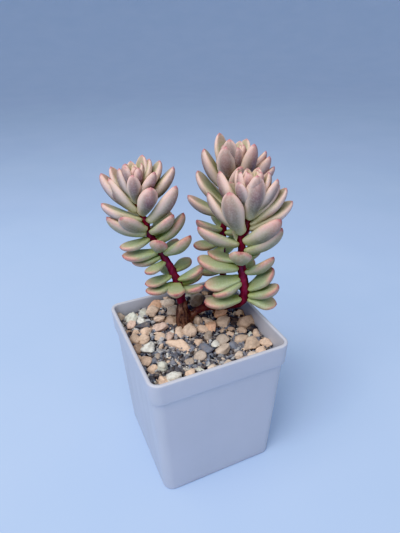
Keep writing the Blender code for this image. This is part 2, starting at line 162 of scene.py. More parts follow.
def round_angles(count):
    """Angles all the way round, at equal steps."""
    return np.linspace(0.0, 2 * math.pi, count, endpoint=False)


def level_way(angle):
    """The level direction at each angle, counted from +X."""
    return np.stack([np.cos(angle), np.sin(angle), np.zeros_like(angle)], axis=-1)


def circles(radius, height, columns):
    """Level circles round Z, one for each radius and height."""
    way = level_way(round_angles(columns))
    return radius[:, None, None] * way + height[:, None, None] * UP


def unit(vectors):
    """The same vectors, each 1 long."""
    return vectors / np.linalg.norm(vectors, axis=-1, keepdims=True)


def ring_values(inside, first, last):
    """Join a value of shape (shells, rows, columns) with the value at each of the two poles."""
    count = len(inside)
    ends = [np.full((count, 1), end) for end in (first, last)]
    return np.concatenate([inside.reshape(count, -1), *ends], axis=1)


# %% [markdown]
# ## Words for a finish
# A finish is a small graph of shader nodes. These helpers keep each graph short: one adds a node and joins
# whatever it is given, one mixes two colours, and one turns a range of a value into a soft step. The last two
# connect the graph to the shader, and give a piece its material.

# %% Shader helpers
def rgb(red, green, blue):
    """A colour from 0 to 255, as it looks on a screen, made linear as shaders want it."""
    shown = np.array([red, green, blue]) / 255.0
    linear = np.where(shown <= 0.04045, shown / 12.92, ((shown + 0.055) / 1.055) ** 2.4)
    return (*linear.tolist(), 1.0)


def new_finish(name):
    """Start a material: returns it and its node tree."""
    material = bpy.data.materials.new(name)
    material.use_nodes = True
    return material, material.node_tree


def put(tree, kind, settings=None, **inputs):
    """Add a node. Settings are its own options, and inputs are sockets by name, with _ for a space, each
    given a value or a link."""
    node = tree.nodes.new("ShaderNode" + kind)
    for key, value in (settings or {}).items():
        setattr(node, key, value)
    for key, value in inputs.items():
        join(tree, node.inputs[key.replace("_", " ")], value)
    return node


def join(tree, socket, value):
    """Link a socket to another node's output, or set its value."""
    if isinstance(value, bpy.types.NodeSocket):
        tree.links.new(value, socket)
    else:
        socket.default_value = value


def mix(tree, factor, first, second):
    """Blend two colours by a factor."""
    node = put(tree, "Mix", {"data_type": "RGBA"})
    for index, value in ((0, factor), (6, first), (7, second)):
        join(tree, node.inputs[index], value)
    return node.outputs[2]


def step(tree, value, low, high, start=0.0, end=1.0):
    """A soft step: start below low, end above high, and a smooth change between them."""
    return put(tree, "MapRange", {"interpolation_type": "SMOOTHSTEP"}, Value=value, From_Min=low,
               From_Max=high, To_Min=start, To_Max=end).outputs["Result"]


def times(tree, *factors):
    """Multiply values together."""
    product = factors[0]
    for factor in factors[1:]:
        node = put(tree, "Math", {"operation": "MULTIPLY"})
        join(tree, node.inputs[0], product)
        join(tree, node.inputs[1], factor)
        product = node.outputs[0]
    return product


def noise(tree, scale, detail=3.0, roughness=0.55, stretch=None):
    """Noise on the piece's own coordinates. A stretch below 1 along an axis draws the pattern out there."""
    place = put(tree, "TexCoord").outputs["Object"]
    if stretch:
        place = put(tree, "Mapping", Vector=place, Scale=stretch).outputs["Vector"]
    return put(tree, "TexNoise", Vector=place, Scale=scale, Detail=detail, Roughness=roughness).outputs["Fac"]


def read(tree, name, output="Fac"):
    """Read one of the piece's attributes."""
    return put(tree, "Attribute", {"attribute_name": name}).outputs[output]


def finish(material, colour, roughness, relief=None, wax=None):
    """Set up the shader: a colour and a roughness, then where given the bump's height, strength and distance,
    and how light spreads under the skin: its weight, how far each colour goes, and a scale in m."""
    tree = material.node_tree
    shader = tree.nodes["Principled BSDF"]
    join(tree, shader.inputs["Base Color"], colour)
    join(tree, shader.inputs["Roughness"], roughness)
    if relief:
        height, strength, distance = relief
        node = put(tree, "Bump", Height=height, Strength=strength, Distance=distance)
        join(tree, shader.inputs["Normal"], node.outputs["Normal"])
    for key, value in zip(("Weight", "Radius", "Scale"), wax or ()):
        shader.inputs["Subsurface " + key].default_value = value
    return material


def dress(piece, material, nodes=()):
    """Give a piece its material and slot, let it ride, and hide the CAD nodes it stands for."""
    piece.data.materials.clear()
    piece.data.materials.append(material)
    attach(piece, "root")
    if nodes:
        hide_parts(*nodes)


# %% [markdown]
# ## The studio
# A round floor that curves up at its edge has no corner and no horizon, so nothing behind the pot draws the
# eye. The day was bright and soft, so the sky does most of the lighting, and one wide lamp up to the left
# gives the leaves their light and dark sides.

# %% Floor and light
FLOOR_HEART = 300.0  # in mm, the radius of its innermost ring
FLOOR_FLAT = 1100.0  # in mm, the radius of its level part
FLOOR_EDGE = 1300.0  # in mm, how far the curved part reaches on from there, and up
FLOOR_LEVEL = -0.05  # in mm, a little under the pot's foot
LAMP_TARGET = (0.0, 0.0, 0.07)  # in m, the middle of the plant


def build_floor(columns=96, rows=24):
    """A dish: circles whose radius grows, level at first and then up a quarter of a circle, round a fan that
    closes the middle. Its faces point up."""
    turn = np.linspace(0.0, math.pi / 2, rows)
    radius = np.concatenate([[FLOOR_HEART], FLOOR_FLAT + FLOOR_EDGE * np.sin(turn)])
    height = np.concatenate([[0.0], FLOOR_EDGE * (1 - np.cos(turn))]) + FLOOR_LEVEL
    quads, fans = shell_faces(1, len(radius), columns)
    points = np.concatenate([circles(radius, height, columns).reshape(-1, 3), [FLOOR_LEVEL * UP]])
    mesh = bpy.data.meshes.new("floor")
    mesh.from_pydata((points * MM).tolist(), [], quads.tolist() + fans[:columns].tolist())
    mesh.shade_smooth()
    return add_object("floor", mesh)


def paper():
    """Pale blue paper, a little cloudy."""
    material, tree = new_finish("floor_paper")
    return finish(material, mix(tree, noise(tree, 14.0, 2.0), rgb(176, 200, 234), rgb(186, 207, 239)), 0.9)


def soft_lamp(name, place, size, watts, colour):
    """A square lamp that faces the middle of the plant."""
    lamp = add_object(name, bpy.data.lights.new(name, "AREA"))
    lamp.data.size = size
    lamp.data.energy = watts
    lamp.data.color = colour
    away = np.subtract(place, LAMP_TARGET)
    level = np.cross(UP, away)
    place_object(lamp, place, [way / np.linalg.norm(way) for way in (level, np.cross(away, level), away)])


def build_sky(colour, strength):
    """An even sky."""
    world = bpy.data.worlds.new("sky")
    world.use_nodes = True
    background = world.node_tree.nodes["Background"]
    background.inputs["Color"].default_value = (*colour, 1.0)
    background.inputs["Strength"].default_value = strength
    bpy.context.scene.world = world


floor = build_floor()
floor.data.materials.append(paper())
build_sky((0.97, 0.98, 1.0), 0.60)
soft_lamp("key_lamp", (-0.26, -0.12, 0.54), 0.45, 3.25, (1.0, 0.985, 0.96))
soft_lamp("fill_lamp", (-0.10, -0.55, 0.28), 0.50, 0.6, (0.98, 0.99, 1.0))
bpy.context.scene.view_settings.view_transform = "Khronos PBR Neutral"
print("floor and two lamps")

# %% [markdown]
# ## The pot
# The pot is one moulding: a square body that widens upwards, a band round its top that stands out a little,
# and a thin wall. It could be bevelled from cubes, but here one profile, from the middle of the base up the
# outside, over the rim and down the inside, is carried round a rounded square. Each corner of the profile
# gets its own small rounding, as a mould leaves it.

# %% The pot's profile
POT_HEIGHT = 60.0
BAND_FOOT = 50.8
FLOOR_THICKNESS = 1.8
FOOT_HALF, RIM_HALF = 23.95, 27.5
CAVITY_FLOOR, CAVITY_RIM = 22.5, 26.0  # half the inside's width
CORNER = 4.2  # the radius of the outside's upright corners
THINNEST_CORNER = 1.2
LONGEST_STEP = 3.0  # between two rings of the wall
DRAIN_OFFSET, DRAIN_RADIUS = 12.0, 3.0
POT_PROFILE = (  # half width, height and rounding, in mm
    (1.0, 0.0, 0.0), (FOOT_HALF, 0.0, 0.8), (26.35, BAND_FOOT, 0.5), (27.15, BAND_FOOT, 0.4),
    (RIM_HALF, POT_HEIGHT, 0.7), (CAVITY_RIM, POT_HEIGHT, 0.6), (CAVITY_FLOOR, FLOOR_THICKNESS, 1.5),
    (1.0, FLOOR_THICKNESS, 0.0))


def rounded_profile(corners, steps=5):
    """Replace each corner of a profile by a short curve: a Bezier curve between the two points that lie the
    rounding away from the corner, with the corner as its handle."""
    corners = np.array(corners)
    path = [corners[0, :2]]
    share = np.linspace(0.0, 1.0, steps)[:, None]
    for before, here, after in zip(corners, corners[1:], corners[2:]):
        point, radius = here[:2], here[2]
        ways = before[:2] - point, after[:2] - point
        start, end = (point + radius * way / np.linalg.norm(way) for way in ways)
        path.extend((1 - share) ** 2 * start + 2 * share * (1 - share) * point + share ** 2 * end)
    path.append(corners[-1, :2])
    return np.array(path)


def fill_steps(path, longest):
    """Add points along a path wherever two neighbours are further apart than longest."""
    out = [path[:1]]
    for start, end in zip(path, path[1:]):
        parts = max(1, math.ceil(np.linalg.norm(end - start) / longest))
        out.append(start + (end - start) * np.linspace(0.0, 1.0, parts + 1)[1:, None])
    return np.concatenate(out)


def square_corner(angle):
    """The corner of a square of half width 1 that lies in this direction."""
    return math.sqrt(2) * np.array([math.cos(angle), math.sin(angle)])


def square_rings(half, corner, height, side_steps=10, corner_steps=9):
    """Rounded squares, one for each height. A point is (half - corner) times a point on the square's
    diagonal frame, plus the corner's radius times the direction outwards there."""
    frames, outwards = [], []
    for quarter in range(4):
        turn = math.pi / 2 * quarter
        angle = turn + np.linspace(0.0, math.pi / 2, corner_steps)
        spot, following = square_corner(turn + math.pi / 4), square_corner(turn + 3 * math.pi / 4)
        frames.append(np.repeat(spot[None], corner_steps, axis=0))
        outwards.append(np.stack([np.cos(angle), np.sin(angle)], axis=-1))
        share = np.linspace(0.0, 1.0, side_steps + 2)[1:-1, None]
        frames.append(spot + (following - spot) * share)
        outwards.append(np.repeat(outwards[-1][-1:], side_steps, axis=0))
    frames, outwards = np.concatenate(frames), np.concatenate(outwards)
    flat = (half - corner)[:, None, None] * frames + corner[:, None, None] * outwards
    return np.concatenate([flat, np.repeat(height[:, None, None], len(frames), axis=1)], axis=-1)


# %% Pot
def build_pot():
    """The pot's shell: the profile gives each ring its half width and height."""
    half, height = fill_steps(rounded_profile(POT_PROFILE), LONGEST_STEP).T
    outer = np.interp(height, (0.0, BAND_FOOT, POT_HEIGHT), (FOOT_HALF, 26.6, RIM_HALF))
    corner = np.minimum(np.clip(CORNER - (outer - half), THINNEST_CORNER, CORNER), 0.6 * half)
    rings = square_rings(half, corner, height)
    return add_shells("pot_shell", rings[None], np.zeros((1, 3)), FLOOR_THICKNESS * UP[None])


def drain_cutter(spots, radius):
    """Upright round rods through the pot's floor."""
    levels = np.array([-2.0, 4.0])
    spots = np.array([(*spot, 0.0) for spot in spots])
    rings = spots[:, None, None] + circles(np.full(2, radius), levels, 32)
    return add_shells("drain_cutter", rings, *(spots + level * UP for level in levels))


def apply_modifiers(piece):
    """Keep what a piece's modifiers make of it in place of them."""
    evaluated = piece.evaluated_get(bpy.context.evaluated_depsgraph_get())
    mesh = bpy.data.meshes.new_from_object(evaluated)
    piece.modifiers.clear()
    piece.data = mesh


def cut(piece, cutter):
    """Take the cutter out of the piece with a Boolean, and remove the cutter."""
    modifier = piece.modifiers.new("holes", "BOOLEAN")
    modifier.object = cutter
    modifier.solver = "EXACT"
    apply_modifiers(piece)
    bpy.data.objects.remove(cutter)


pot = build_pot()
ways = (-DRAIN_OFFSET, DRAIN_OFFSET)
cut(pot, drain_cutter([(x, y) for x in ways for y in ways], DRAIN_RADIUS))
pot.data.shade_smooth()
pot.data.set_sharp_from_angle(angle=math.radians(40))
print("pot faces", len(pot.data.polygons))

# %% [markdown]
# ### Moulded plastic
# The plastic is white with a breath of lavender, satin rather than glossy. Handling leaves it a little
# uneven: broad soft patches in its tone, and faint scuffs that run up the wall.

# %% Plastic finish
def plastic():
    """White plastic: patches of tone, and a roughness and a fine grain that vary."""
    material, tree = new_finish("pot_plastic_finish")
    patches = noise(tree, 38.0, 3.0)
    scuffs = noise(tree, 160.0, 5.0, 0.7, stretch=(1.0, 1.0, 0.12))
    colour = mix(tree, patches, rgb(178, 180, 192), rgb(188, 190, 200))
    colour = mix(tree, step(tree, scuffs, 0.6, 0.8, 0.0, 0.22), colour, rgb(178, 180, 192))
    return finish(material, colour, step(tree, scuffs, 0.35, 0.75, 0.34, 0.5),
                  relief=(noise(tree, 900.0, 2.0), 0.12, 0.0002), wax=(0.08, (1.0, 1.0, 1.0), 0.0012))


dress(pot, plastic(), ["pot"])

# %% [markdown]
# ### The soil
# Under the gravel is a block of dark, crumbly mix. Only the drain holes show it, so the CAD solid stays as
# it is and gets a finish: peat brown, with paler crumbs and a coarse bump.

# %% Soil finish
def soil_finish():
    """Dark peat with lighter crumbs."""
    material, tree = new_finish("potting_soil_finish")
    crumbs = noise(tree, 420.0, 6.0, 0.7)
    colour = mix(tree, step(tree, crumbs, 0.42, 0.7), rgb(46, 38, 33), rgb(104, 84, 66))
    return finish(material, colour, 0.95, relief=(crumbs, 0.8, 0.001))


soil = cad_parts["soil"]
soil.data.materials.clear()
soil.data.materials.append(soil_finish())
print("soil has its finish")

# %% [markdown]
# ## The gravel
# The top of the pot is dressed with three sizes of stone: a bed of dust, sharp dark grit on it, and pebbles
# of tan, peach, grey and greenish white. They are heaped up a little towards the back wall.
#
# A stone is easy to write down: take a few planes all round a point, and go out in each direction until the
# first plane is met. A soft minimum in place of the first plane rounds the edges, as wear does: the higher
# its power, the sharper they stay. The same formula serves every stone at once.

# %% Stones
BED_LEVEL, BED_FOOT = 51.9, 49.3  # in mm
BED_GAP = 0.35  # in mm, between the bed and the pot's wall
HEAP = (-1.0, 18.0, 18.0, 5.2)  # centre x and y, radius and height in mm
TRUNK_FOOT = (-1.8, 6.1, 3.2)  # centre x and y and radius in mm
PALETTE = {
    "tan": (212, 188, 168), "pale_tan": (224, 206, 190), "peach": (228, 200, 178), "orange": (218, 176, 148),
    "brown": (184, 160, 142), "grey_tan": (186, 172, 160), "pink_tan": (214, 188, 174),
    "chalk": (214, 214, 208), "green_grey": (202, 204, 194), "grey": (166, 168, 172),
    "blue_grey": (116, 123, 138), "slate": (78, 82, 92), "black": (44, 46, 54)}
PLACES = {name: place for place, name in enumerate(PALETTE)}
BED_SEED, PEBBLE_SEED, GRIT_SEED = 3, 21, 5


def bed_height(x, y):
    """The bed's level, plus a bell-shaped heap behind the plant."""
    apart = np.hypot(x - HEAP[0], y - HEAP[1]) / HEAP[2]
    return BED_LEVEL + HEAP[3] * np.exp(-apart ** 2)


def cavity_half(z):
    """Half the width of the pot's inside at a height."""
    return np.interp(z, (FLOOR_THICKNESS, POT_HEIGHT), (CAVITY_FLOOR, CAVITY_RIM))


def sphere_directions(rows, columns):
    """Directions on a sphere: rings of equal latitude between the two poles."""
    latitude = np.linspace(0.0, math.pi, rows + 2)[1:-1]
    rings = circles(np.sin(latitude), np.cos(latitude), columns)
    return np.concatenate([rings.reshape(-1, 3), [UP, -UP]])


def turns(draw, count, tilt, spins=None):
    """Random rotation matrices: a turn about Z, which may be given, then a tilt of up to this angle about a
    level axis."""
    spin, way = draw.uniform(0.0, 2 * math.pi, (2, count))
    spin = spin if spins is None else spins
    lean = draw.uniform(0.0, tilt, count)[:, None, None]
    axis = level_way(way)
    cross = np.zeros((count, 3, 3))
    cross[:, 0, 2], cross[:, 1, 2] = axis[:, 1], -axis[:, 0]
    cross[:, 2, 0], cross[:, 2, 1] = -axis[:, 1], axis[:, 0]
    tipped = np.eye(3) + np.sin(lean) * cross + (1 - np.cos(lean)) * cross @ cross
    about = np.zeros((count, 3, 3))
    about[:, 0, 0] = about[:, 1, 1] = np.cos(spin)
    about[:, 1, 0], about[:, 0, 1], about[:, 2, 2] = np.sin(spin), -np.sin(spin), 1.0
    return tipped @ about


def chipped(draw, directions, count, share):
    """Small chips and lumps for every stone: 1 plus the share of the radius that they move, times the mean
    of eight waves in random directions, sin(k . d + phase)."""
    ways = draw.normal(size=(count, 8, 3))
    ways *= (draw.uniform(5.0, 13.0, (count, 8)) / np.linalg.norm(ways, axis=-1))[..., None]
    phase = draw.uniform(0.0, 2 * math.pi, (count, 1, 8))
    return 1.0 + share * np.sin(np.einsum("md,nkd->nmk", directions, ways) + phase).mean(axis=-1)


def stone_shells(draw, centres, sizes, tilt, power, planes, rows, columns, spins=None, chips=0.0):
    """Stones as soft polyhedra: the radius in a direction is the soft minimum, (sum of (max(cos, 0) /
    distance) ^ power) ^ (-1 / power), over random planes, and 1.35 at most. It is then chipped, stretched by
    the stone's three half sizes, turned, tipped and put in its place."""
    count = len(centres)
    directions = sphere_directions(rows, columns)
    normals = unit(draw.normal(size=(count, planes, 3)))
    distance = draw.uniform(0.78, 1.02, (count, planes))
    facing = np.maximum(np.einsum("md,nkd->nmk", directions, normals), 0.0)
    total = ((facing / distance[:, None]) ** power).sum(axis=-1) + 1.35 ** -power
    radius = total ** (-1.0 / power)
    if chips:
        radius *= chipped(draw, directions, count, chips)
    points = directions * radius[..., None] * sizes[:, None]
    points = np.einsum("nij,nmj->nmi", turns(draw, count, tilt, spins), points) + centres[:, None]
    return points[:, :-2].reshape(count, rows, columns, 3), points[:, -2], points[:, -1]


# %% Gravel bed
def build_bed():
    """The bed: a closed slab from the soil up, whose top follows the heap and is lumpy all over."""
    draw = np.random.default_rng(BED_SEED)
    share = np.concatenate([[0.5, 1.0], np.linspace(1.0, 0.04, 40)])
    half = (cavity_half(BED_LEVEL) - BED_GAP) * share
    rings = square_rings(half, np.minimum(2.7, 0.6 * half), np.zeros_like(half), side_steps=24)
    x, y = rings[..., 0], rings[..., 1]
    ripples = draw.uniform((-2.2, -2.2, 0), (2.2, 2.2, 6.28), (10, 3))
    lumps = sum(np.sin(x * a + y * b + c) for a, b, c in ripples)
    rings[..., 2] = bed_height(x, y) + 0.07 * lumps
    rings[:2, :, 2] = BED_FOOT
    return add_shells("gravel_bed", rings[None], BED_FOOT * UP[None], bed_height(0.0, 0.0) * UP[None])


gravel_bed = build_bed()

# %% [markdown]
# ### Pebbles
# The stones that stand out in the picture are listed one by one, with their places on the bed, their length,
# width and colour. The rest are drawn with a seed and kept only where they have room, fewer on the front
# left, where the picture shows fine grit, and each one is pushed inside the pot's wall.

# %% Pebbles
MARKED_STONES = (  # x, y, length, width, turn in degrees, colour
    (-8.7, 20.9, 7.2, 4.6, 20, "orange"), (-3.9, 19.9, 5.3, 4.6, 150, "pale_tan"),
    (-10.8, 18.6, 6.1, 4.3, 10, "tan"), (-20.1, 20.9, 5.4, 4.8, 60, "green_grey"),
    (-16.5, 16.3, 4.2, 3.4, 70, "chalk"), (-10.2, 12.2, 4.9, 3.9, 60, "tan"),
    (-6.2, 10.1, 5.4, 3.9, 160, "brown"), (-3.3, 14.0, 6.9, 5.0, 30, "grey_tan"),
    (-11.5, 8.0, 5.0, 3.9, 150, "pink_tan"), (-20.9, 11.6, 3.4, 2.8, 80, "peach"),
    (-17.1, 9.2, 4.8, 3.6, 40, "peach"), (-19.4, -0.5, 4.6, 4.4, 5, "chalk"),
    (-21.9, -5.9, 4.8, 4.2, 120, "peach"), (-21.5, -10.8, 3.9, 3.0, 100, "peach"),
    (-18.2, -12.2, 4.4, 3.6, 110, "green_grey"), (-15.9, -18.5, 5.3, 3.8, 10, "chalk"),
    (-5.3, 2.7, 4.7, 3.7, 60, "tan"), (-1.5, 1.4, 5.8, 4.7, 50, "tan"), (3.5, 6.3, 4.8, 4.2, 110, "tan"),
    (3.4, 1.2, 4.9, 4.1, 140, "peach"), (8.2, 4.7, 4.7, 3.4, 150, "tan"),
    (7.4, 0.1, 4.6, 3.6, 60, "orange"), (-7.6, -3.9, 9.3, 5.2, 128, "peach"),
    (-0.6, -5.0, 3.7, 3.0, 60, "peach"), (-3.5, -12.1, 4.3, 3.6, 150, "grey_tan"),
    (-7.6, -13.1, 3.6, 3.0, 60, "grey_tan"), (4.9, -8.6, 3.4, 2.8, 30, "chalk"),
    (7.2, -12.0, 5.9, 4.2, 15, "pale_tan"), (15.5, -9.8, 5.6, 3.9, 10, "tan"),
    (18.2, -14.3, 5.5, 4.5, 30, "tan"), (24.4, -9.4, 4.0, 3.6, 80, "peach"),
    (23.4, -15.5, 4.8, 3.6, 110, "peach"), (19.6, -19.1, 4.8, 3.0, 30, "peach"),
    (22.7, -1.4, 7.4, 6.2, 20, "brown"), (13.5, 2.3, 6.2, 5.8, 40, "tan"),
    (15.5, 7.7, 6.8, 4.2, 10, "orange"), (23.5, 5.7, 5.2, 3.8, 20, "peach"),
    (8.0, 16.1, 6.7, 5.4, 40, "grey_tan"), (0.4, -9.1, 5.8, 4.0, 100, "blue_grey"),
    (11.7, -12.7, 4.6, 3.8, 120, "blue_grey"), (18.6, 1.4, 5.3, 4.1, 80, "black"),
    (24.1, -5.3, 4.8, 3.6, 40, "black"), (-17.1, 12.5, 5.7, 3.6, 150, "slate"),
    (-14.6, 20.6, 5.2, 4.0, 70, "green_grey"), (-21.7, 16.6, 4.2, 3.2, 60, "pink_tan"))
LOOSE_SHARES = {"tan": 0.17, "pale_tan": 0.11, "peach": 0.12, "brown": 0.10, "grey_tan": 0.10,
                "pink_tan": 0.08, "green_grey": 0.07, "blue_grey": 0.10, "slate": 0.08, "black": 0.07}
LOOSE_TRIES = 2600
LOOSE_REACH = 24.5  # the furthest that one lies from the middle, each way, in mm
LOOSE_LENGTHS = (2.6, 5.6)
ROOM = 0.46  # of its length, what a stone needs on each side
PEBBLE_FIT, GRIT_FIT = 1.85, 1.75  # from size to half size: under 2, as the planes cut a stone smaller


def gritty(x, y):
    """How much of a place is left to fine grit: most on the front left."""
    return np.clip(1.35 * np.exp(-((x + 8.0) / 15.0) ** 2 - ((y + 11.0) / 12.0) ** 2), 0.0, 0.985)


def stone_colours(draw, picks, low, high):
    """The palette's colours for these places in it, each one made a little darker or lighter."""
    colours = np.array([rgb(*shade) for shade in PALETTE.values()])[picks]
    colours[:, :3] *= draw.uniform(low, high, (len(picks), 1))
    return colours


def scatter_pebbles(draw):
    """The marked stones, then seeded ones that keep clear of every stone so far. Each row is x, y, length,
    width, turn, and colour as a place in the palette."""
    rows = [(x, y, length, width, math.radians(turn), PLACES[colour])
            for x, y, length, width, turn, colour in MARKED_STONES]
    for _ in range(LOOSE_TRIES):
        x, y = draw.uniform(-LOOSE_REACH, LOOSE_REACH, 2)
        length = draw.uniform(*LOOSE_LENGTHS)
        chance, colour = draw.uniform(), draw.choice(list(LOOSE_SHARES), p=list(LOOSE_SHARES.values()))
        turn, width = draw.uniform(0.0, math.pi), length * draw.uniform(0.68, 0.9)
        placed = np.array(rows)
        room = np.hypot(placed[:, 0] - x, placed[:, 1] - y) - ROOM * placed[:, 2] - ROOM * length
        foot = math.hypot(x - TRUNK_FOOT[0], y - TRUNK_FOOT[1]) - TRUNK_FOOT[2] - 0.4 * length
        if room.min() > 0 and foot > 0 and chance > gritty(x, y):
            rows.append((x, y, length, width, turn, PLACES[colour]))
    return np.array(rows)


def build_pebbles():
    """Every pebble: a soft polyhedron a little flatter than it is wide, set more or less deep in the bed."""
    draw = np.random.default_rng(PEBBLE_SEED)
    stones = scatter_pebbles(draw)
    x, y, length, width, turn = stones[:, :5].T
    limit = cavity_half(54.0) - 0.48 * length
    x, y = np.clip(x, -limit, limit), np.clip(y, -limit, limit)
    depth = width * draw.uniform(0.66, 0.88, len(x))
    sizes = np.stack([length, width, depth], axis=-1) / PEBBLE_FIT
    z = bed_height(x, y) + 0.30 * depth + draw.uniform(-0.3, 1.0, len(x))
    shells = stone_shells(draw, np.stack([x, y, z], axis=-1), sizes, tilt=0.55, power=28, planes=12,
                          rows=20, columns=28, spins=turn, chips=0.16)
    colours = stone_colours(draw, stones[:, 5].astype(int), 0.84, 1.12)
    print(len(x), "pebbles")
    return add_shells("pebbles", *shells, values={"stone_colour": colours})


pebbles = build_pebbles()

# %% [markdown]
# ### Grit
# Between the pebbles lies crushed dark stone, one to three millimetres long. There are thousands of grains,
# so each one is only a few dozen flat faces, shaded flat so that they glint like broken stone.

# %% Grit
GRIT_COUNT = 5300
GRIT_DRIFT = 0.25  # the share of the grains that has drifted to the front left
GRIT_SHARES = {"slate": 0.25, "black": 0.13, "blue_grey": 0.30, "grey": 0.19, "chalk": 0.04, "tan": 0.03,
               "grey_tan": 0.06}


def build_grit():
    """Grains in a layer on the bed, long thin chips and stubby ones: most lie anywhere inside the wall, and
    the drifted share is drawn round a place at the front left."""
    draw = np.random.default_rng(GRIT_SEED)
    half = cavity_half(BED_LEVEL) - 1.0
    x, y = draw.uniform(-half, half, (2, GRIT_COUNT))
    drift = draw.uniform(size=GRIT_COUNT) < GRIT_DRIFT
    x = np.where(drift, np.clip(draw.normal(-8.0, 9.0, GRIT_COUNT), -half, half), x)
    y = np.where(drift, np.clip(draw.normal(-11.0, 7.5, GRIT_COUNT), -half, half), y)
    length = draw.uniform(0.9, 2.3, GRIT_COUNT) * np.where(draw.uniform(size=GRIT_COUNT) < 0.12, 1.35, 1.0)
    width = length * draw.uniform(0.35, 0.75, GRIT_COUNT)
    depth = width * draw.uniform(0.5, 0.9, GRIT_COUNT)
    z = bed_height(x, y) + draw.uniform(0.0, 1.3, GRIT_COUNT)
    sizes = np.stack([length, width, depth], axis=-1) / GRIT_FIT
    shells = stone_shells(draw, np.stack([x, y, z], axis=-1), sizes, tilt=1.2, power=30, planes=9, rows=3,
                          columns=6)
    names = draw.choice(list(GRIT_SHARES), GRIT_COUNT, p=list(GRIT_SHARES.values()))
    colours = stone_colours(draw, [PLACES[name] for name in names], 0.7, 1.25)
    return add_shells("grit", *shells, smooth=False, values={"stone_colour": colours})


grit = build_grit()

# %% Stone finish
def stone_finish(name, own_colour=None):
    """Matt stone: the stone's own colour, clouded by broad mottling and peppered with fine grains."""
    material, tree = new_finish(name)
    colour = own_colour or read(tree, "stone_colour", "Color")
    clouds, grains = noise(tree, 520.0, 4.0), noise(tree, 2600.0, 3.0, 0.7)
    colour = mix(tree, step(tree, clouds, 0.35, 0.7, 0.0, 0.42), colour, rgb(142, 124, 112))
    colour = mix(tree, step(tree, clouds, 0.60, 0.74, 0.0, 0.20), colour, rgb(226, 214, 200))
    colour = mix(tree, step(tree, grains, 0.54, 0.72, 0.0, 0.40), colour, rgb(64, 56, 52))
    return finish(material, colour, step(tree, clouds, 0.3, 0.7, 0.62, 0.86), relief=(grains, 0.5, 0.0004))


pebble_finish = stone_finish("pebble_stone")
dress(pebbles, pebble_finish, ["gravel"])
dress(grit, pebble_finish, ["gravel"])
dress(gravel_bed, stone_finish("gravel_dust", rgb(62, 60, 64)), ["gravel"])

# %% [markdown]
# ## Routes
# The trunk and every stem follow a curve through a few points. A Hermite spline passes through each point,
# and takes its direction there from the two neighbours, which is enough for a stem that bends and kinks.

# %% Smooth routes and tubes
def lengths_along(points):
    """The length along a path, from its start to each point."""
    return np.concatenate([[0.0], np.cumsum(np.linalg.norm(np.diff(points, axis=0), axis=1))])


def smooth_route(points, steps):
    """A Hermite spline through the points: four blending polynomials mix two neighbours and their slopes.
    Returns the points and the length along them."""
    points = np.array(points, dtype=float)
    chord = lengths_along(points)
    slope = np.gradient(points, chord, axis=0)
    at = np.linspace(0.0, chord[-1], steps)
    span = np.clip(np.searchsorted(chord, at, side="right") - 1, 0, len(chord) - 2)
    width = (chord[span + 1] - chord[span])[:, None]
    u = (at - chord[span])[:, None] / width
    curve = ((2 * u ** 3 - 3 * u ** 2 + 1) * points[span] + (u ** 3 - 2 * u ** 2 + u) * width * slope[span]
             + (3 * u ** 2 - 2 * u ** 3) * points[span + 1] + (u ** 3 - u ** 2) * width * slope[span + 1])
    return curve, lengths_along(curve)


def steady_frames(curve):
    """Two directions across a curve at each point: world X and Y, made square to the curve's own way, which
    suits a stem that mostly climbs."""
    way = unit(np.gradient(curve, axis=0))
    guide = np.where(np.abs(way[:, :1]) > 0.9, [[0.0, 1.0, 0.0]], [[1.0, 0.0, 0.0]])
    right = unit(guide - (guide * way).sum(axis=1, keepdims=True) * way)
    return way, right, np.cross(way, right)


def add_tube(name, curve, radii, ends, values=None):
    """Make a piece of circles square to a curve. The radii are an array of (rows, columns), and the two ends
    say how far each pole stands out, in mm."""
    way, right, ahead = steady_frames(curve)
    angle = round_angles(radii.shape[1])
    spoke = np.cos(angle)[:, None] * right[:, None] + np.sin(angle)[:, None] * ahead[:, None]
    rings = curve[:, None] + radii[..., None] * spoke
    first, last = curve[:1] - ends[0] * way[:1], curve[-1:] + ends[1] * way[-1:]
    return add_shells(name, rings[None], first, last, values=values)


# %% [markdown]
# ## The woody foot
# The plant stands on a short trunk of rough, reddish brown bark. A low branch leaves it to the right and
# forks, one arm for each of the two right-hand stems. Three tubes are melted into one skin with a voxel
# remesh, so the joints have no seam, and then every vertex moves by a bark pattern: ridges that run along
# the wood, and fine grain.

# %% Trunk
TRUNK_ROUTE = ((-1.7, 6.2, 46), (-1.8, 6.1, 50), (-1.9, 6.1, 57), (-2.1, 6.5, 62), (-2.3, 6.9, 67.2))
TRUNK_RADII = (3.0, 3.2, 3.5, 3.1, 1.6)
BRANCH_ROUTE = ((-1.9, 6.1, 57), (0.8, 5.9, 59.4), (4.0, 5.2, 61.6), (8.0, 4.6, 62.8), (12.5, 3.6, 62.4),
                (15.9, 3.0, 62.0), (16.9, 1.4, 63.4))
BRANCH_RADII = (1.5, 1.4, 1.4, 1.6, 1.7, 1.8, 1.8)
FORK_ROUTE = ((8.6, 4.6, 62.7), (14.0, 9.0, 61.0), (18.6, 13.0, 60.4), (19.7, 14.5, 62.8))
FORK_RADII = (1.3, 1.4, 1.4, 1.5)
BARK_VOXEL = 0.26  # in mm, the size of the remesh's steps
BARK_SEED = 11


def wood_tube(name, route, radii):
    """One arm of the wood: a tube along its route, its radius a smooth curve through the given ones."""
    rows = 12 * len(route)
    curve, _ = smooth_route(route, rows)
    thickness, _ = smooth_route([(radius, 0.0, i) for i, radius in enumerate(radii)], rows)
    return add_tube(name, curve, np.repeat(thickness[:, :1], 20, axis=1), (0.4, 0.4))


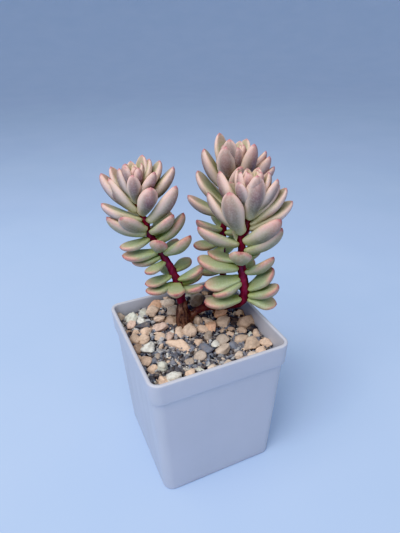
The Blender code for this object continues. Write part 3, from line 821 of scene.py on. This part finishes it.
def vertex_array(mesh, field="co"):
    """The mesh's places, or its normals, as an array."""
    flat = np.empty(len(mesh.vertices) * 3)
    mesh.vertices.foreach_get(field, flat)
    return flat.reshape(-1, 3)


def melt(name, pieces, voxel):
    """Join pieces into one object and remesh it in voxels, which fuses what overlaps."""
    points, faces, start = [], [], 0
    for piece in pieces:
        points.append(vertex_array(piece.data))
        faces.extend([[index + start for index in face.vertices] for face in piece.data.polygons])
        start += len(points[-1])
        bpy.data.objects.remove(piece)
    mesh = bpy.data.meshes.new(name)
    mesh.from_pydata(np.concatenate(points).tolist(), [], faces)
    melted = add_object(name, mesh)
    modifier = melted.modifiers.new("melt", "REMESH")
    modifier.mode = "VOXEL"
    modifier.voxel_size = voxel
    apply_modifiers(melted)
    return melted


def waves(points, draw, count, finest):
    """Smooth random ripples: sines along random directions, which add up to between about -1 and 1."""
    ways = draw.normal(size=(count, 3)) * finest
    shift = draw.uniform(0.0, 2 * math.pi, count)
    return np.sin(points @ ways.T + shift).mean(axis=1) * math.sqrt(count) / 1.4


def roughen_bark(trunk):
    """Move each vertex along its normal by the bark's height: long ridges up the wood, 0.34 mm high, and fine
    grain. The height also becomes an attribute, and so does how fresh the wood is, from the trunk to +X."""
    points, normals = vertex_array(trunk.data) / MM, vertex_array(trunk.data, "normal")
    draw = np.random.default_rng(BARK_SEED)
    ridges = waves(points * (1.0, 1.0, 0.4), draw, 14, 1.5)
    grain = waves(points, draw, 20, 4.5)
    height = 0.34 * np.abs(ridges) ** 0.8 - 0.2 + 0.08 * grain
    points += normals * height[:, None]
    trunk.data.vertices.foreach_set("co", (points * MM).ravel())
    fresh = np.clip((points[:, 0] - 1.0) / 5.0, 0.0, 1.0)
    for name, value in (("ridge", np.clip(height * 2.6 + 0.5, 0, 1)), ("fresh", fresh)):
        trunk.data.attributes.new(name, "FLOAT", "POINT").data.foreach_set("value", value)
    trunk.data.shade_smooth()
    trunk.data.update()


arms = (("trunk_arm", TRUNK_ROUTE, TRUNK_RADII), ("branch_arm", BRANCH_ROUTE, BRANCH_RADII),
        ("fork_arm", FORK_ROUTE, FORK_RADII))
trunk = melt("trunk_bark", [wood_tube(*arm) for arm in arms], BARK_VOXEL * MM)
roughen_bark(trunk)
print("trunk faces", len(trunk.data.polygons))

# %% Bark finish
def bark():
    """Reddish brown bark: dark in the cracks, paler on the ridges, and redder along the younger branch."""
    material, tree = new_finish("bark_finish")
    fibres = noise(tree, 900.0, 5.0, 0.65, stretch=(1.0, 1.0, 0.25))
    colour = mix(tree, read(tree, "ridge"), rgb(44, 34, 34), rgb(112, 82, 70))
    colour = mix(tree, step(tree, fibres, 0.45, 0.72, 0.0, 0.75), colour, rgb(154, 122, 104))
    colour = mix(tree, step(tree, noise(tree, 150.0), 0.5, 0.75, 0.0, 0.5), colour, rgb(84, 46, 46))
    colour = mix(tree, times(tree, read(tree, "fresh"), 0.75), colour, rgb(84, 38, 44))
    return finish(material, colour, 0.72, relief=(fibres, 0.6, 0.0004))


dress(trunk, bark(), ["trunk"])

# %% [markdown]
# ## Where the leaves grow
# Each shoot is a route for its stem and a list of leaves. A leaf is its height along the stem, the bearing
# it grows in, its rise above level, and its length, then where needed its turn about its own length and its
# girth against the others. The leaves that show in the picture were placed one by one. The young leaves in
# the middle of a head follow the rule that a sedum grows by: each next leaf is turned by the golden angle,
# and is shorter and more upright. They are given as their number, the heights of the first and the last, the
# first one's bearing, and the ranges of their lengths and rises.

# %% Plans of the shoots
BEARING_ZERO = 246.5  # the direction that bearings are counted from, in degrees from +X
GOLDEN_ANGLE = 137.5
SHOOTS = {
    "left": dict(
        route=((-2.3, 7, 66.6), (-3.5, 7.5, 75.7), (-5.9, 8.6, 83.2), (-8.3, 9.6, 88.6),
            (-10.7, 10.6, 93.6), (-12.3, 11.4, 97.6), (-12.7, 11.5, 101.2), (-14, 12.1, 104),
            (-15.3, 12.6, 108.5), (-15.6, 13, 115.5)),
        radii=(1.75, 0.6), seed=40,
        stem_leaves=((7, 51, 22, 12), (8, 135, 5, 13), (9, 290, -6, 12.5), (9.5, 359, 8, 12, 0, 1.12),
            (11, 74, 34, 13), (12, 209, 0, 11.5), (13, 289, -11, 11.5), (14.5, 146, 2, 11.5),
            (23.3, 82, 36, 13.5, -15, 1.1), (19.5, 311, -9, 10), (20, 204, 0, 11.5), (22, 154, 10, 11.5),
            (22, 267, -15, 12.5), (24.5, 283, -2, 13.9), (25.9, 8, 40, 12, -18, 1.1), (27, 187, 10, 13),
            (28.5, 103, 43, 15.2, -10), (30.5, 291, -10, 12), (31.5, 148, 20, 14), (32.5, 272, 26, 16, 15),
            (33, 70, 40, 13, -15), (33.6, 214, 15, 14), (34.4, 314, 36, 13.5, 32, 1)),
        head_leaves=((37.4, 79, 51, 18, -22), (38.2, 276, 26, 16, 12), (40.8, 38, 60, 13.5, -12, 1.3),
            (40, 175, 30, 16), (41.6, 270, 54, 15.5, 30, 1.1), (42.2, 258, 47, 18), (43, 215, 42, 16),
            (43.5, 150, 40, 15), (44.3, 108, 42, 18.5, -12), (45.2, 4, 69, 12.5), (45.6, 252, 55, 14.5),
            (46.2, 70, 56, 13, -20), (46.8, 290, 70, 12.2), (47, 114, 50, 15.4), (47.4, 140, 72, 14.5),
            (48, 318, 78, 12), (48.4, 118, 62, 13), (49, 48, 72, 10)),
        young=(8, 49.2, 52, 190, (10.5, 6), (66, 84))),
    "front": dict(
        route=((17, 1, 63.6), (18.6, -3, 66.6), (19.4, -5, 70), (19, -5.4, 75.3), (18.2, -5.1, 81.3),
            (17.7, -4.9, 84.6), (17.7, -4.9, 92.4), (17.5, -4.8, 95.8), (18.9, -5.4, 99.2),
            (19.2, -5.5, 102.2), (19.8, -5.8, 107), (20.4, -6, 114)),
        radii=(2, 1), seed=50,
        stem_leaves=((9, 285, 4, 16), (9.3, 75, -8, 12.5, 12, 1.2), (10.7, 72, 27, 14, 0, 1.15),
            (12, 190, 0, 12), (13.5, 79, 45, 14, 15, 1.15), (16.8, 292, -16, 13, 20),
            (18.5, 276, -8, 14.8, -15), (19, 160, 10, 12), (21, 75, 36, 13.5, -22, 1.15), (23, 275, 18, 17),
            (25, 130, 20, 11), (26, 258, 13, 12.6), (26.6, 353, 41, 12.5, 0, 1.28), (30, 78, 37, 17, -18),
            (31.5, 180, 20, 12), (32.7, 272, 26, 17.5, 18, 1), (33.8, 67, 39, 17.5, -34, 1.05)),
        head_leaves=((37.6, 306, 69, 18.5, 32, 1.1), (38, 248, 45, 19, 15), (39, 102, 28, 19),
            (39.5, 160, 35, 15), (40.8, 97, 44, 18.5), (43.3, 23, 78, 17, -12, 1.15), (41.8, 210, 48, 16),
            (43, 103, 50, 16), (44, 243, 56, 18.5, 30), (44.6, 145, 50, 15), (45.2, 80, 56, 15.5, -12),
            (47.4, 320, 61, 12.8)),
        young=(10, 46.6, 52, 95, (14.5, 8.5), (66, 85))),
    "back": dict(
        route=((19.7, 14.5, 62.8), (20.6, 15.8, 67), (20.2, 16, 78), (20.7, 15.8, 89.6),
            (22.3, 15.1, 100.4), (23.3, 14.6, 107), (24.6, 14, 119)),
        radii=(1.6, 0.9), seed=60,
        stem_leaves=((8, 280, 10, 12), (10, 200, 10, 12), (14, 80, 10, 13), (16, 160, 5, 13),
            (20, 340, 8, 11), (21.5, 110, 20, 13), (22, 293, 6, 13), (25, 235, 8, 12), (26.5, 60, 25, 13),
            (28, 190, 15, 14), (28, 291, 27, 13), (30.5, 120, 25, 15)),
        head_leaves=((34.2, 264, 28, 17), (36, 215, 35, 16), (37, 130, 38, 17), (38, 251, 47, 18.2),
            (40, 170, 45, 17), (41, 93, 36, 20.8, -20, 0.9), (42.6, 20, 60, 16),
            (43.2, 92, 45, 20.2, -25, 0.95), (44, 262, 60, 19.5, 0), (44.6, 200, 55, 17),
            (45.4, 331, 71, 19, 15, 0.95), (45.8, 62, 64, 20, -22, 0.88), (47, 102, 43, 17.6, -25, 0.9),
            (47.6, 228, 71, 19.2, 0, 0.9), (49, 140, 62, 16), (50.5, 340, 72, 16)),
        young=(9, 49.6, 53.6, 10, (14, 8), (68, 85))),
}


def young_leaves(count, first, last, bearing, lengths, rises):
    """The rows of a head's young leaves, from the outermost to the bud."""
    share = (np.arange(count) + 0.5) / count
    return np.stack([first + (last - first) * share ** 0.8, bearing + GOLDEN_ANGLE * np.arange(count),
                     rises[0] + (rises[1] - rises[0]) * share, lengths[0] + (lengths[1] - lengths[0]) * share,
                     np.zeros(count), np.ones(count)], axis=-1)


def full_rows(leaves):
    """Leaves as an array, where one that gives no turn about its own length, or no girth, gets 0 and 1."""
    return np.array([(*leaf, *(0.0, 1.0)[len(leaf) - 4:]) for leaf in leaves], dtype=float)


# %% [markdown]
# ## One formula for every leaf
# A sedum leaf is a thick spoon: narrow where it leaves the stem, widest past the middle, blunt, and with a
# tiny point. Its upper side is almost flat and its underside is full, with a soft keel. The leaf's grid has
# the share along it as one parameter and the angle round it as the other. Its middle line is an arc that
# curls upwards, and each ring stands square to the arc.

# %% Leaf surface
LEAF_ROWS = 28
LEAF_COLUMNS = 28
LEAF_CURL = math.radians(22.0)
LEAF_WIDTH = (0.53, 0.53, 0.70, 0.48, 2.5, 0.60)  # neck, growth, grown, start, power and root
LEAF_DEPTH = (0.58, 0.44, 0.50, 0.45, 2.4, 0.55)
STEM_LEAF_SHAPE = (0.52, 0.40)  # width and thickness, as shares of the length
HEAD_LEAF_SHAPE = (0.41, 0.35)
ROOT_OFFSET = 0.72  # how far from the stem's middle a leaf starts, as a share of the stem's radius
ROOT_CUT = 0.7  # how much of that its length loses


def soft_step(value, low, high):
    """0 below low, 1 above high, and a smooth change between them."""
    share = np.clip((value - low) / (high - low), 0.0, 1.0)
    return share * share * (3.0 - 2.0 * share)


def leaf_foot(s):
    """The rounded foot where a leaf meets the stem: a quarter circle over its first tenth, from 0.42 to 1."""
    start = np.clip(s / 0.10, 0.0, 1.0)
    return 0.42 + 0.58 * np.sqrt(1.0 - (1.0 - start) ** 2)


def leaf_size(s, neck, growth, grown, start, power, root):
    """Half the leaf's width or thickness along it: its rounded foot, times a soft step up from the neck,
    times a blunt point, (1 - x ^ power) ^ root, where x runs from 0 at start to 1 at the tip."""
    end = np.clip((s - start) / (1.0 - start), 0.0, 1.0)
    return leaf_foot(s) * (neck + growth * soft_step(s, -0.05, grown)) * (1.0 - end ** power) ** root


def leaf_shells(base, bearing, rise, length, turn, girth, shape, draw):
    """Every leaf of a piece at once. Along the arc, lean = rise - curl / 2 + curl * s, and the middle line
    is the sum of its directions. Round the leaf, x = cos(a) goes across, and the height is 0.62 sin(a)
    (1 - (0.30 + 0.16 s) sin(a) ^ 2) above, and between a circle and a keel below. Each leaf also bends to a
    side, rolls and ripples a little. Returns the shells and, for each point, what its colour follows."""
    count = len(length)
    s = (0.5 - 0.4985 * np.cos(np.linspace(0.0, math.pi, LEAF_ROWS)))[None, :, None]
    a = round_angles(LEAF_COLUMNS)[None, None]
    bend, roll, ripple, phase, plump, broad = draw.uniform(-1.0, 1.0, (6, count))[..., None, None]
    rise, length, turn, girth = (value[:, None, None] for value in (np.radians(rise), length, turn, girth))
    curl = LEAF_CURL * (1.0 + 0.25 * phase)
    start = rise - curl / 2
    lean = start + curl * s
    out = level_way(np.radians(BEARING_ZERO + bearing))[:, None, None]
    side = np.cross(UP, out)
    ahead = (((np.sin(lean) - np.sin(start)) / curl)[..., None] * out
             - ((np.cos(lean) - np.cos(start)) / curl)[..., None] * UP)
    facing = np.cos(lean)[..., None] * UP - np.sin(lean)[..., None] * out
    twist = (0.16 * roll * s + np.radians(turn))[..., None]
    side, facing = (side * np.cos(twist) + facing * np.sin(twist),
                    facing * np.cos(twist) - side * np.sin(twist))
    x, z = np.cos(a), np.sin(a)
    width = shape[0] / 2 * girth * (1.0 + 0.05 * broad) * leaf_size(s, *LEAF_WIDTH)
    width = width * (1.0 + 0.022 * np.sin(9.0 * s + 3.0 * phase + 2.0 * x))
    depth = shape[1] / 2 * girth * (1.0 + 0.08 * plump) * leaf_size(s, *LEAF_DEPTH)
    low = np.maximum(-z, 0.0)
    keel = 0.25 + 0.25 * s
    above = 0.62 * z * (1.0 - (0.30 + 0.16 * s) * z * z)
    section = np.where(z > 0, above, -((1 - keel) * low + keel * low ** 3))
    section = section + 0.03 * ripple * np.sin(7.0 * s + 4.0 * x + 3.0 * phase) * (1.0 - x * x)
    shift = (0.05 * bend * s * s + width * x)[..., None] * side + (depth * section)[..., None] * facing
    rings = base[:, None, None] + length[..., None] * (ahead + shift)
    first = base - 0.3 * out[:, 0, 0]
    ring_before, tip_ring = rings[:, -3].mean(axis=1), rings[:, -1].mean(axis=1)
    last = tip_ring + 0.28 * unit(tip_ring - ring_before)
    apart = np.minimum((1.0 - np.abs(x)) * width, 1.02 - s) * length
    whole = np.ones((count, LEAF_ROWS, LEAF_COLUMNS))
    values = {key: ring_values(inside * whole, *poles) for key, inside, *poles in (
        ("along", s, 0.0, 1.0), ("across", np.abs(x), 0.0, 0.0), ("upper", 0.5 + 0.5 * z, 0.5, 0.5),
        ("margin", np.exp(-apart / 0.9), 0.0, 1.0))}
    return (rings, first, last), values


def stem_taper(plan, share):
    """The stem's plain radius at a share of its length."""
    foot, tip = plan["radii"]
    return foot + (tip - foot) * share


def build_leaves(name, plan, rows, ages, shape, seed):
    """The leaves of one piece, each rooted in the stem's side. Age runs from 0 for the lowest leaf to
    1 for the bud, and tone is a number of the leaf's own."""
    draw = np.random.default_rng(seed)
    curve, along = smooth_route(plan["route"], 400)
    height, bearing, rise, length, turn, girth = rows.T
    base = np.stack([np.interp(height, along, curve[:, k]) for k in range(3)], axis=-1)
    inset = ROOT_OFFSET * stem_taper(plan, height / along[-1])
    base += inset[:, None] * level_way(np.radians(BEARING_ZERO + bearing))
    length = length - ROOT_CUT * inset
    shells, values = leaf_shells(base, bearing, rise, length, turn, girth, shape, draw)
    values["age"] = np.asarray(ages)[:, None]
    values["tone"] = draw.uniform(0.0, 1.0, (len(length), 1))
    return add_shells(name, *shells, values=values)


# %% [markdown]
# ## Stems
# The stems are deep maroon, smooth and a little glossy, and they swell where each leaf is joined. Older
# stretches keep ring-shaped scars of leaves that have dropped. A tube whose radius is a sum of small bells
# gives all of that: one bell for each leaf, at its height and on its side.

# %% Stems
def stem_radii(plan, along, bearings, rows, draw):
    """The stem's radius at (height, angle): a taper, a bell of 0.45 mm for each leaf, 0.9 mm tall and half a
    radian wide, thin scar rings, and a slow wobble."""
    height = along[:, None]
    taper = stem_taper(plan, height / along[-1])
    leaf_height, leaf_bearing = rows[:, :2].T
    turn = bearings[None, :, None] - np.radians(BEARING_ZERO + leaf_bearing)
    near = np.exp((np.cos(turn) - 1.0) * 4.0) * np.exp(-((height[..., None] - leaf_height) / 0.9) ** 2)
    scars = draw.uniform(1.0, along[-1], 16)
    rings = np.exp(-((height[..., None] - scars) / 0.28) ** 2).sum(axis=-1)
    wobble = np.sin(0.9 * height + 2.0 * np.sin(bearings)) + np.sin(2.3 * height - 3.0 * bearings)
    return taper + 0.45 * near.sum(axis=-1) + 0.10 * rings + 0.05 * wobble


def build_stem(name, plan, rows, end, seed):
    """The stem from its foot to inside the head."""
    curve, along = smooth_route(plan["route"], 260)
    keep = along <= end
    curve, along = curve[keep], along[keep]
    bearings = round_angles(28)
    radii = stem_radii(plan, along, bearings, rows, np.random.default_rng(seed))
    height = np.repeat((along / along[-1])[:, None], len(bearings), axis=1)[None]
    return add_tube(name, curve, radii, (0.5, 0.6), {"height": ring_values(height, 0.0, 1.0)})


# %% [markdown]
# ## Leaf skin
# A leaf's colour is built in layers, in the order that the eye meets them. The body runs from olive green
# on low leaves to beige and mauve in the heads, and the underside is darker, partly as painted shade. Then
# come the yellow-green base, the dusky keel, partly the leaf's own tone and partly painted shade, the green
# stripe of the youngest, the blush, the pink margin and the crimson point, and over all of it a bloom of wax.

# %% Leaf finish
def leaf_skin(name):
    """Waxy leaf skin. Every layer follows the leaf's own values: along, across, upper, margin, age, tone."""
    material, tree = new_finish(name)
    along, across, upper, margin, age, tone = (
        read(tree, key) for key in ("along", "across", "upper", "margin", "age", "tone"))
    clouds, fine = noise(tree, 210.0, 4.0, 0.6), noise(tree, 1500.0, 4.0, 0.7)
    patch = step(tree, clouds, 0.30, 0.62, 0.40, 1.0)
    under = step(tree, upper, 0.30, 0.60, 1.0, 0.0)
    ripe, young = step(tree, age, 0.28, 0.56), step(tree, age, 0.74, 1.0)
    side = step(tree, across, 0.45, 1.0)
    # On a low leaf the underside's middle is painted darker than the upper side, as shade, and its paler
    # edges are the leaf's own margin. In a head the underside is mauve, its own colour.
    low = mix(tree, under, rgb(158, 170, 130), mix(tree, side, rgb(142, 148, 104), rgb(190, 176, 150)))
    head = mix(tree, under, mix(tree, side, rgb(152, 158, 122), rgb(198, 184, 160)),
               mix(tree, side, rgb(160, 146, 132), rgb(214, 192, 176)))
    colour = mix(tree, ripe, low, head)
    colour = mix(tree, young, colour, mix(tree, under, rgb(224, 216, 186), rgb(214, 184, 170)))
    base = times(tree, step(tree, along, 0.04, 0.46, 0.85, 0.0), patch)
    # The keel: the underside darkened down its middle, partly the leaf's own dusky tone and partly painted
    # shade where the underside faces away from the light.
    keel = times(tree, under, step(tree, across, 0.25, 0.90, 1.0, 0.0), step(tree, along, 0.08, 0.38),
                 step(tree, along, 0.62, 0.97, 1.0, 0.35), step(tree, tone, 0.0, 1.0, 0.65, 1.0),
                 step(tree, clouds, 0.25, 0.55, 0.7, 1.0))
    dusky_keel_shade = mix(tree, step(tree, along, 0.30, 0.70), rgb(98, 98, 78), rgb(112, 80, 84))
    stripe = times(tree, step(tree, upper, 0.5, 0.8), step(tree, across, 0.05, 0.6, 0.75, 0.0), young)
    blush = times(tree, step(tree, along, 0.55, 0.98), step(tree, tone, 0.0, 1.0, 0.5, 1.0), patch, 0.75)
    edge = times(tree, step(tree, margin, 0.25, 0.90), step(tree, along, 0.30, 0.85), patch, 0.75)
    tip = times(tree, step(tree, along, 0.94, 0.995), 0.8)
    bloom = times(tree, step(tree, fine, 0.38, 0.7), 0.16)
    layers = (  # how much of it, and its colour, or its colours on a green leaf and in a head
        # The keel's two colours here are partly painted shade.
        (base, rgb(156, 168, 104), rgb(180, 180, 134)), (keel, rgb(128, 130, 98), dusky_keel_shade),
        (stripe, rgb(146, 162, 104)), (blush, rgb(200, 146, 138), rgb(192, 142, 138)),
        (edge, rgb(192, 116, 110), rgb(226, 190, 180)), (tip, rgb(152, 74, 76), rgb(170, 96, 108)),
        (bloom, rgb(226, 220, 216)))
    for share, *shades in layers:
        colour = mix(tree, share, colour, mix(tree, ripe, *shades) if len(shades) == 2 else shades[0])
    return finish(material, colour, step(tree, fine, 0.3, 0.7, 0.42, 0.58), relief=(fine, 0.12, 0.0002),
                  wax=(0.12, (1.0, 0.7, 0.5), 0.002))


def stem_skin():
    """Deep maroon stem: paler and browner towards the head, with fine streaks along it."""
    material, tree = new_finish("stem_skin")
    streaks = noise(tree, 520.0, 4.0, 0.6, stretch=(1.0, 1.0, 0.22))
    colour = mix(tree, step(tree, streaks, 0.35, 0.7), rgb(70, 16, 32), rgb(128, 38, 60))
    colour = mix(tree, step(tree, read(tree, "height"), 0.72, 1.0, 0.0, 0.5), colour, rgb(156, 118, 92))
    return finish(material, colour, step(tree, streaks, 0.3, 0.7, 0.30, 0.46), relief=(streaks, 0.25, 0.0003),
                  wax=(0.08, (1.0, 0.2, 0.1), 0.0012))


green_skin, pink_skin, maroon_skin = leaf_skin("green_leaf_skin"), leaf_skin("pink_leaf_skin"), stem_skin()

# %% [markdown]
# ## The three shoots
# With the shapes and the skins ready, a shoot is three pieces: the stem, the leaves down its length, and
# the leaves of its head. The stem runs on into the head, so it stands for the CAD shoot and for the CAD head.
# The leaves stand for one of them each.

# %% Shoots
STEM_AGE = 0.42  # of the highest leaf below the head
HEAD_AGES, YOUNG_AGES = (0.50, 0.74), (0.76, 1.0)  # of the first and the last


def build_shoot(side, plan):
    """One shoot. The leaves' age value rises from the stem's foot to the bud, and their colours follow it."""
    stem_rows, head_rows = full_rows(plan["stem_leaves"]), full_rows(plan["head_leaves"])
    bud_rows = young_leaves(*plan["young"])
    crown = np.concatenate([head_rows, bud_rows])
    stem_ages = STEM_AGE * stem_rows[:, 0] / stem_rows[-1, 0]
    crown_ages = np.concatenate([np.linspace(*ages, len(rows)) for ages, rows in (
        (HEAD_AGES, head_rows), (YOUNG_AGES, bud_rows))])
    seed = plan["seed"]
    stem = build_stem(side + "_stem", plan, np.concatenate([stem_rows, head_rows]), bud_rows[-1, 0], seed)
    leaves = build_leaves(side + "_shoot_leaves", plan, stem_rows, stem_ages, STEM_LEAF_SHAPE, seed + 1)
    head = build_leaves(side + "_rosette_leaves", plan, crown, crown_ages, HEAD_LEAF_SHAPE, seed + 2)
    dress(stem, maroon_skin, [side + "_shoot", side + "_rosette"])
    dress(leaves, green_skin, [side + "_shoot"])
    dress(head, pink_skin, [side + "_rosette"])


for side, plan in SHOOTS.items():
    build_shoot(side, plan)
